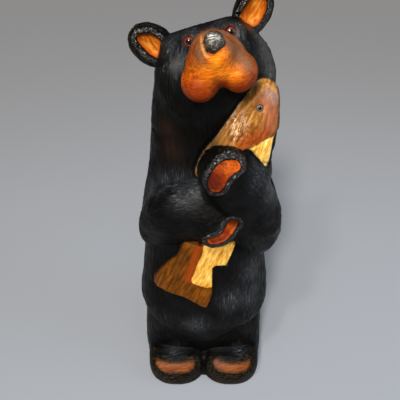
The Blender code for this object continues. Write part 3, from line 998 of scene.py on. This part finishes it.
class PaintedWood(Nodes):
    """The grains and edges that the paints on the carving share."""

    def __init__(self):
        super().__init__("painted_wood")
        strokes, place = self.attribute("strokes", vector=True), self.place()
        along = self.scaled(strokes, (1, 1, 0.12))
        self.hairs = self.noise(along, 900, 4, 0.6)
        self.grain = self.noise(along, 380, 5, 0.65)
        self.band = self.noise(self.scaled(strokes, (0.7, 0.7, 0.09)), 800, 5, 0.68)
        self.patches = self.noise(place, 55, 4, 0.6)
        self.specks = self.noise(place, 1300, 2, 0.6)
        self.pits = self.noise(place, 480, 2)
        self.wobble = self.minus(self.noise(place, 420, 2), 0.5)
        self.edges = self.attribute("edges")
        self.tone = self.minus(self.plus(self.times(self.band, 1.3), self.times(self.patches, 0.6)), 0.43)
        self.rims = self.greater(*[
            self.times(self.between(depth, -5.9, -4.5), self.between(depth, -0.4, -1.2))
            for depth in (self.attribute("paw_pads"), self.attribute("bowls"))
        ])
        self.in_nose = self.inside("nose")

    def inside(self, name, soft=0.35, ragged=1.2, shift=0.0):
        """1 inside a painted field and 0 outside it, with a soft and ragged edge."""
        depth = self.plus(self.attribute(name), self.times(self.wobble, ragged))
        return self.between(depth, shift - soft, shift + soft)

    def patch(self, name, share):
        """A soft patch of paint, at most so strong."""
        return self.times(self.attribute(name), share)


def black(n):
    """The black coat: browner where it is thin, with painted sheen and glints where light would catch it, and
    rubbed on its edges.
    """
    thin = n.plus(n.times(n.grain, 0.6), n.times(n.patches, 0.7))
    lit = n.between(n.attribute("turned_up"), -0.2, 0.6, 0.1, 1.0)
    glints = n.times(n.between(n.pits, 0.58, 0.66), lit)
    black = PAINT["black"]
    for name, share in (
        ("thin black", n.between(thin, 0.6, 0.95)),
        # Painted sheen and painted glint dashes, where light would catch the black
        ("painted_sheen", n.patch("painted_sheen", n.between(n.hairs, 0.36, 0.62, 0.1, 1.0))),
        ("painted sheen dashes", n.times(n.patch("painted_sheen", n.between(n.hairs, 0.6, 0.68)), 0.8)),
        # Painted sheen on the side of the head
        ("painted_head_sheen", n.patch("painted_head_sheen", n.between(n.grain, 0.3, 0.6, 0.35, 0.9))),
        ("rubbed edge", n.times(n.between(n.edges, 0.35, 0.8), n.between(n.hairs, 0.45, 0.65))),
        ("scratch", n.times(n.between(n.hairs, 0.64, 0.71), n.between(n.patches, 0.48, 0.66))),
        ("brown chest", n.patch("brown_chest", n.grain)),
        ("rim glint", n.times(n.rims, glints)),
    ):
        black = n.mix(share, black, PAINT[name])
    return black


def face(n):
    """The muzzle: orange stain, gold that is part stain and part painted highlight, red below and brown
    beside the nose.
    """
    face = n.ramp(n.tone, MUZZLE_STAIN)
    # Gold stain with a painted highlight on the muzzle's front
    face = n.mix(n.attribute("gold_and_highlight"), face, n.ramp(n.band, GOLD_STAIN))
    # The last of these is a painted highlight on the ridge left of the nose
    for name, share in (("ember", 0.8), ("dusk", 0.85), ("nose_ridge_highlight", 0.55)):
        face = n.mix(n.patch(name, share), face, PAINT[name])
    return face


def fish(n):
    """The trout's back, cheek and belly, and its fins."""
    tone = n.minus(n.plus(n.grain, n.times(n.patches, 0.6)), 0.28)
    yellow = n.ramp(n.grain, YELLOW_STAIN)
    trout = n.ramp(tone, TROUT_STAIN)
    trout = n.mix(n.patch("low_trout", 0.8), trout, PAINT["low trout"])
    for name, share in (("pink", 0.75), ("lilac", 0.6), ("smear", 0.85)):
        ragged = n.patch(name, n.between(n.grain, 0.2, 0.6, 0.35, share))
        trout = n.mix(ragged, trout, PAINT[name])
    # Painted glints: pale paint on the crests of the wrinkled patch
    trout = n.mix(n.patch("bark_and_glints", n.between(n.hairs, 0.5, 0.58)), trout, PAINT["bark_and_glints"])
    trout = n.mix(n.inside("yellow_belly", soft=0.7, ragged=3), trout, yellow)
    # Painted shade: darker brown where the trout turns to the bear's left, away from the light
    side = n.between(n.attribute("turned_left"), 0.62, 0.85, 0, 0.85)
    trout = n.mix(side, trout, PAINT["trout shaded side"])
    edge = n.times(n.between(n.attribute("trout_edge"), 1.9, 1.0), n.between(n.hairs, 0.35, 0.55))
    edge = n.times(edge, n.between(n.attribute("low_trout"), 0.2, 0.7, 0.6, 0.1))
    trout = n.mix(edge, trout, PAINT["trout edge"])
    stripe = n.times(n.inside("tail_stripe", soft=3.5, ragged=4, shift=0.8), 0.9)
    fins = n.mix(stripe, n.ramp(tone, FIN_STAIN), PAINT["tail stripe"])
    pale = n.mix(1.0, yellow, PAINT["tail yellow"], "MULTIPLY")
    return trout, n.mix(n.inside("yellow_tail"), fins, pale)


def bowls(n):
    """The stain in the ears, darker at its edge."""
    bowls = n.ramp(n.tone, BOWL_STAIN)
    return n.mix(n.between(n.attribute("bowls"), 3.0, 0.3), bowls, PAINT["bowl edge"])


def colour(n):
    """Every painted field in its place, with painted glints on the nose and painted shade in the hollows."""
    trout, fins = fish(n)
    pad_tone = n.plus(n.times(n.band, 0.5), n.minus(n.patches, 0.25))
    nose = n.mix(n.between(n.patches, 0.46, 0.6), PAINT["nose"], PAINT["worn nose"])
    colour = black(n)
    for share, paint in (
        (n.inside("fins"), fins),
        (n.inside("trout"), trout),
        (n.inside("muzzle", soft=1.5, ragged=3.5, shift=0.5), face(n)),
        (n.inside("paw_pads"), n.ramp(pad_tone, PAD_STAIN)),
        (n.inside("foot_pads", soft=2.4, ragged=3, shift=0.9), n.ramp(n.tone, SOLE_STAIN)),
        (n.inside("bowls"), bowls(n)),
        (n.inside("sockets", soft=0.4, ragged=0.5), PAINT["socket"]),
        (n.inside("fish_socket", soft=0.4, ragged=0.5), PAINT["fish socket"]),
        (n.in_nose, nose),
        (n.patch("nose_glint", n.between(n.hairs, 0.42, 0.55)), PAINT["nose glint"]),
    ):
        colour = n.mix(share, colour, paint)
    # Painted shade: hollows and creases darkened towards black, but not in the ear bowls
    out_of_bowls = n.between(n.attribute("bowls"), -1, 1, 1, 0.1)
    hollow = n.times(n.between(n.edges, -0.25, -1.0, 0.0, 0.6), out_of_bowls)
    return n.mix(hollow, colour, PAINT["hollow"], "MULTIPLY")


def varnish(n):
    """The varnish: patchy, thicker on rims, nose and bark, and nearly gone from the feet."""
    roughness = n.plus(n.between(n.patches, 0.35, 0.7, 0.3, 0.45), n.times(n.hairs, 0.2))
    # The varnish is also thicker where the sheen is painted
    varnish = n.plus(n.between(n.patches, 0.4, 0.65, 0.22, 0.03), n.patch("painted_sheen", 0.45))
    varnish = n.times(varnish, n.between(n.attribute("calm"), 0, 1, 1.0, 0.0))
    for share in (n.rims, n.in_nose, n.patch("bark_and_glints", 0.9)):
        varnish = n.greater(varnish, share)
    height = n.plus(n.times(n.hairs, 0.7), n.times(n.specks, 0.3))
    strength = n.between(n.attribute("calm"), 0, 1, 0.9, 0.25)
    nicks = n.times(n.pits, n.greater(n.rims, n.times(n.in_nose, 0.6)))
    bumped = n.bump(nicks, 1.0, NICK_BUMP, n.bump(height, strength, STROKE_BUMP))
    return {
        "Roughness": roughness,
        "Specular IOR Level": 0.08,
        "Coat Weight": varnish,
        "Coat Roughness": 0.12,
        "Normal": bumped,
        "Coat Normal": bumped,
    }


def painted_wood():
    """Black paint over carved wood, with stained fields, all under a worn coat of varnish."""
    n = PaintedWood()
    return n.finished({"Base Color": colour(n), **varnish(n)})


# A glass eye's pupil and iris, by the angle from where it looks, each with a soft edge
PUPIL_EDGE = (0.5, 0.62)
IRIS_EDGE = (0.8, 0.92)
PUPIL = (0.001, 0.001, 0.001)
EYE_RIM = (0.012, 0.003, 0.002)

# Each glass eye: the node that it stands for, where it looks, its iris and its flecks, and its slot
AMBER = ((0.3, 0.055, 0.008), (0.12, 0.012, 0.004))
GREY = ((0.3, 0.31, 0.3), (0.12, 0.13, 0.13))
GLASS_EYES = {
    "right_glass_eye": ("right_eye", (-0.1, -0.97, 0.2), AMBER, "amber_glass"),
    "left_glass_eye": ("left_eye", (0.15, -0.96, 0.2), AMBER, "amber_glass"),
    "trout_glass_eye": ("fish_eye", (0.1, -0.98, 0.2), GREY, "grey_glass"),
}


def lens(name, node, gaze, tones):
    """A glass eye: a clear-coated ball with a black pupil, an iris and a dark edge."""
    low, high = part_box(node)
    middle, radius = (low + high) / 2, (high.x - low.x) / 2
    shape = bmesh.new()
    turn = UP.rotation_difference(Vector(gaze).normalized()).to_matrix().to_4x4()
    fit = Matrix.Translation(middle) @ turn
    bmesh.ops.create_uvsphere(shape, u_segments=48, v_segments=32, radius=radius, matrix=fit)
    made = solid(name, shape)
    made.data.shade_smooth()
    spread = np.array([(vertex.co - middle).angle(Vector(gaze)) for vertex in made.data.vertices])
    keep_attribute(made.data, "from_pupil", spread)
    n = Nodes(name)
    turn_off = n.attribute("from_pupil")
    iris = n.mix(n.noise(n.place(), 1500, 3), *tones)
    colour = n.mix(n.between(turn_off, *PUPIL_EDGE), PUPIL, iris)
    colour = n.mix(n.between(turn_off, *IRIS_EDGE), colour, EYE_RIM)
    glass = {"Roughness": 0.25, "Specular IOR Level": 0.15, "Coat Weight": 1.0, "Coat Roughness": 0.02}
    made.data.materials.append(n.finished({"Base Color": colour, **glass}))
    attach(made, "root")
    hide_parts(node)
    return made


# The sun: where it shines from, its strength, its width in degrees and its colour
KEY = ("key", (-0.2, -0.8, 0.62), 4.2, 12, (1.0, 0.95, 0.88))

# The soft lights: each one's place, size, power and colour. They look at the bear's middle
LAMPS = [
    ("sky", (-0.05, -0.5, 1.25), 0.8, 6, (0.72, 0.86, 1.0)),
    ("lamp", (-0.3, -0.55, 1.1), 0.1, 3, (1.0, 0.97, 0.92)),
    ("window", (1.0, -0.3, 0.75), 0.7, 4, (0.72, 0.86, 1.0)),
]
LAMPS_AIM = Vector((0, 0, 0.25))

FLOOR_REACH = 9
FLOOR_PAINT = (0.35, 0.36, 0.385)
ROOM_LIGHT = (0.92, 0.9, 0.86, 1)
ROOM_STRENGTH = 0.1
VIEW_GAMMA = 0.88

# The camera stands in front of the bear and looks down on it
CAMERA_PLACE = (-0.003, -0.3655, 0.461)
CAMERA_TILT = math.radians(57)
CAMERA_LENS = 36.9


def placed_light(name, kind, place, towards, power, colour):
    """A light at a place, which shines towards a direction."""
    light = bpy.data.lights.new(name, kind)
    light.energy = power
    light.color = colour
    made = bpy.data.objects.new(name, light)
    made.location = place
    made.rotation_euler = towards.to_track_quat("-Z", "Y").to_euler()
    bpy.context.scene.collection.objects.link(made)
    return light


def studio():
    """A plain pale floor, soft light and the camera at the photograph's angle."""
    scene = bpy.context.scene
    shape = bmesh.new()
    bmesh.ops.create_grid(shape, x_segments=1, y_segments=1, size=FLOOR_REACH)
    floor = solid("floor", shape)
    stone = {"Base Color": FLOOR_PAINT, "Roughness": 0.8, "Specular IOR Level": 0.2}
    floor.data.materials.append(Nodes("floor").finished(stone))
    name, place, strength, width, colour = KEY
    sun = placed_light(name, "SUN", (0, 0, 0), -Vector(place), strength, colour)
    sun.angle = math.radians(width)
    for name, place, size, power, colour in LAMPS:
        lamp = placed_light(name, "AREA", place, LAMPS_AIM - Vector(place), power, colour)
        lamp.shape = "DISK"
        lamp.size = size
    world = bpy.data.worlds.new("room")
    world.use_nodes = True
    world.node_tree.nodes["Background"].inputs[0].default_value = ROOM_LIGHT
    world.node_tree.nodes["Background"].inputs[1].default_value = ROOM_STRENGTH
    scene.world = world
    scene.view_settings.view_transform = "Standard"
    scene.view_settings.gamma = VIEW_GAMMA

    camera = bpy.data.objects.new("camera", bpy.data.cameras.new("camera"))
    camera.location = CAMERA_PLACE
    camera.rotation_euler = (CAMERA_TILT, 0, 0)
    camera.data.sensor_width = 36
    camera.data.lens = CAMERA_LENS
    camera.data.clip_start = 0.01
    scene.collection.objects.link(camera)
    bpy.context.scene.camera = camera


studio()
bear = carving()
bear.name = "bear_and_trout"
bear.data.materials.clear()
bear.data.materials.append(painted_wood())
bear.data.shade_smooth()
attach(bear, "root")
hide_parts("carved_bear")
for name, (node, gaze, tones, slot) in GLASS_EYES.items():
    lens(name, node, gaze, tones)
